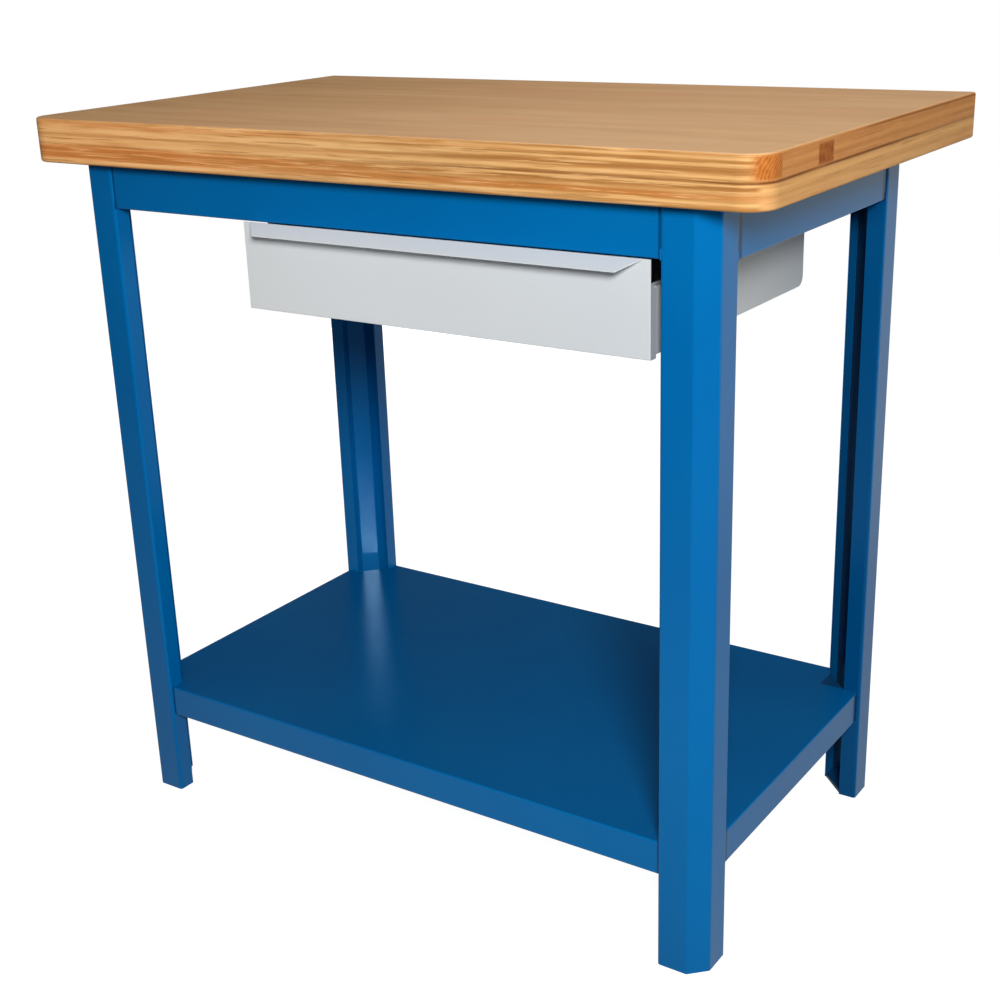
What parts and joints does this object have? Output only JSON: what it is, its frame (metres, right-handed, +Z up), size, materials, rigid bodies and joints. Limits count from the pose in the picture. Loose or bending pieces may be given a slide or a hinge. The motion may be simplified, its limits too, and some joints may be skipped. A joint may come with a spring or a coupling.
{
  "type": "jewelers bench",
  "caption": "Steel-framed workbench with a thick laminated wood top, a folded steel lower shelf and a drawer hung under the front on telescopic slides.",
  "frame": {"origin": "on the floor, under the middle of the worktop's plan", "axes": "+X to the right along the worktop, +Y to the back, +Z up; the drawer opens towards -Y"},
  "size_m": [1, 0.6, 0.93],
  "materials": {
    "worktop_wood": "oiled laminated wood, staves lengthways, edge showing the plies",
    "frame_paint": "semi-gloss blue enamel on folded steel sheet",
    "drawer_paint": "light grey powder coat on folded steel sheet",
    "zinc_steel": "bright zinc-plated steel",
    "ball_steel": "polished balls in a thin steel strip"
  },
  "bodies": {
    "frame": {"worktop_upper_layer": "worktop_wood", "worktop_lower_layer": "worktop_wood", "leg_front_left": "frame_paint", "leg_front_right": "frame_paint", "leg_rear_left": "frame_paint", "leg_rear_right": "frame_paint", "foot_plate_front_left": "frame_paint", "foot_plate_front_right": "frame_paint", "foot_plate_rear_left": "frame_paint", "foot_plate_rear_right": "frame_paint", "front_apron": "frame_paint", "rear_apron": "frame_paint", "left_apron": "frame_paint", "right_apron": "frame_paint", "lower_shelf": "frame_paint", "shelf_stiffener": "frame_paint", "worktop_screws": "zinc_steel", "housing_side_left": "drawer_paint", "housing_side_right": "drawer_paint", "housing_back": "drawer_paint", "housing_screws": "zinc_steel", "slide_outer_left": "zinc_steel", "slide_outer_right": "zinc_steel"},
    "drawer": {"drawer_box": "drawer_paint", "drawer_front": "drawer_paint", "slide_rivets": "zinc_steel", "slide_inner_left": "zinc_steel", "slide_inner_right": "zinc_steel"},
    "middle_left": {"slide_middle_left": "zinc_steel"},
    "middle_right": {"slide_middle_right": "zinc_steel"},
    "outer_cage_left": {"ball_cage_outer_left": "ball_steel"},
    "outer_cage_right": {"ball_cage_outer_right": "ball_steel"},
    "inner_cage_left": {"ball_cage_inner_left": "ball_steel"},
    "inner_cage_right": {"ball_cage_inner_right": "ball_steel"}
  },
  "joints": [
    {"name": "drawer_slide", "type": "slide", "parent": "frame", "child": "drawer", "axis": [0, -1, 0], "range_m": [0, 0.35]},
    {"name": "middle_slide_left", "type": "slide", "parent": "frame", "child": "middle_left", "axis": [0, -1, 0], "range_m": [0, 0.175]},
    {"name": "middle_slide_right", "type": "slide", "parent": "frame", "child": "middle_right", "axis": [0, -1, 0], "range_m": [0, 0.175]},
    {"name": "outer_cage_slide_left", "type": "slide", "parent": "frame", "child": "outer_cage_left", "axis": [0, -1, 0], "range_m": [0, 0.0875]},
    {"name": "outer_cage_slide_right", "type": "slide", "parent": "frame", "child": "outer_cage_right", "axis": [0, -1, 0], "range_m": [0, 0.0875]},
    {"name": "inner_cage_slide_left", "type": "slide", "parent": "frame", "child": "inner_cage_left", "axis": [0, -1, 0], "range_m": [0, 0.2625]},
    {"name": "inner_cage_slide_right", "type": "slide", "parent": "frame", "child": "inner_cage_right", "axis": [0, -1, 0], "range_m": [0, 0.2625]}
  ],
  "couplings": [
    {"joint": "middle_slide_left", "follows": "drawer_slide", "ratio": 0.5},
    {"joint": "middle_slide_right", "follows": "drawer_slide", "ratio": 0.5},
    {"joint": "outer_cage_slide_left", "follows": "drawer_slide", "ratio": 0.25},
    {"joint": "outer_cage_slide_right", "follows": "drawer_slide", "ratio": 0.25},
    {"joint": "inner_cage_slide_left", "follows": "drawer_slide", "ratio": 0.75},
    {"joint": "inner_cage_slide_right", "follows": "drawer_slide", "ratio": 0.75}
  ]
}
